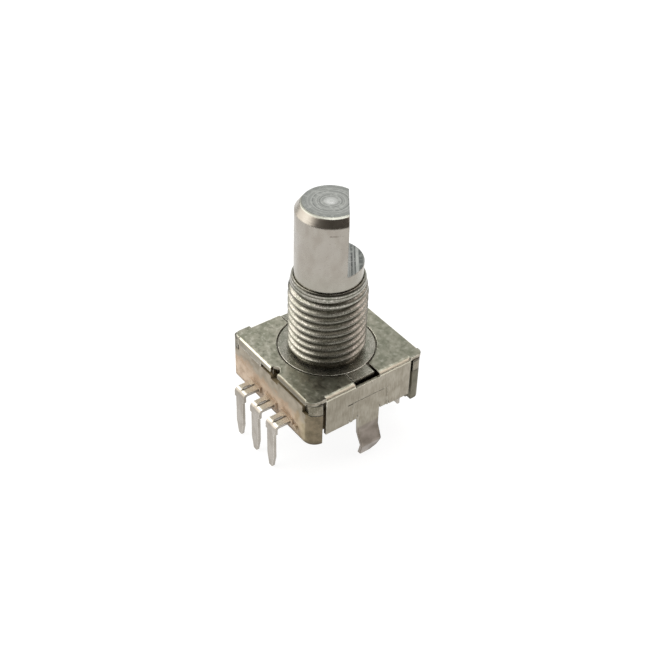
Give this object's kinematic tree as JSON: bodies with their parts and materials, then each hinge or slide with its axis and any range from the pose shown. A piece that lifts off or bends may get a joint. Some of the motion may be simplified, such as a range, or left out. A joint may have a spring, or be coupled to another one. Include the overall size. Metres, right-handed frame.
{
  "type": "rotary encoder",
  "caption": "Panel-mount rotary encoder with push switch: D-cut shaft, threaded bushing, folded steel frame with snap-in lugs, bent terminals.",
  "frame": {"origin": "on the shaft axis, at the plane where the panel rests on the collar and frame", "axes": "+Z along the shaft towards its tip, -Y towards the three encoder terminals, X towards the snap-in lugs"},
  "size_m": [0.0128, 0.0144, 0.0239],
  "materials": {
    "shaft_metal": "satin, turned",
    "die_cast_zinc": "zinc die casting, satin",
    "frame_steel": "tin-plated sheet steel, mottled satin",
    "terminal_metal": "tin-plated brass, satin",
    "base_resin": "moulded, matte",
    "switch_resin": "moulded, matte",
    "rotor_resin": "moulded, matte",
    "nylon_white": "moulded, matte",
    "spring_steel": "rolled, bright",
    "contact_bronze": "rolled, bright"
  },
  "bodies": {
    "housing": {"bushing": "die_cast_zinc", "frame_cover": "frame_steel", "base_housing": "base_resin", "thrust_washer": "nylon_white", "detent_spring": "spring_steel", "terminal_a": "terminal_metal", "terminal_c": "terminal_metal", "terminal_b": "terminal_metal", "wiper_a": "contact_bronze", "wiper_c": "contact_bronze", "wiper_b": "contact_bronze", "switch_base": "switch_resin", "switch_terminal_d": "terminal_metal", "switch_terminal_e": "terminal_metal", "snap_dome": "spring_steel"},
    "rotor": {"detent_wheel": "nylon_white", "code_rotor": "rotor_resin", "code_disc": "contact_bronze"},
    "knob_shaft": {"shaft": "shaft_metal", "retaining_ring": "spring_steel"},
    "plunger": {"switch_plunger": "nylon_white"}
  },
  "joints": [
    {"name": "rotate", "type": "hinge", "parent": "housing", "child": "rotor", "pos_m": [0, 0, 0], "axis": [0, 0, 1], "continuous": true},
    {"name": "push", "type": "slide", "parent": "rotor", "child": "knob_shaft", "axis": [0, 0, -1], "range_m": [0, 0.0005], "stiffness_N_per_m": 4000, "springref_m": -0.0001},
    {"name": "plunger_push", "type": "slide", "parent": "housing", "child": "plunger", "axis": [0, 0, -1], "range_m": [0, 0.0005], "deforming": ["snap_dome"]}
  ],
  "couplings": [
    {"joint": "plunger_push", "follows": "push", "ratio": 1}
  ]
}
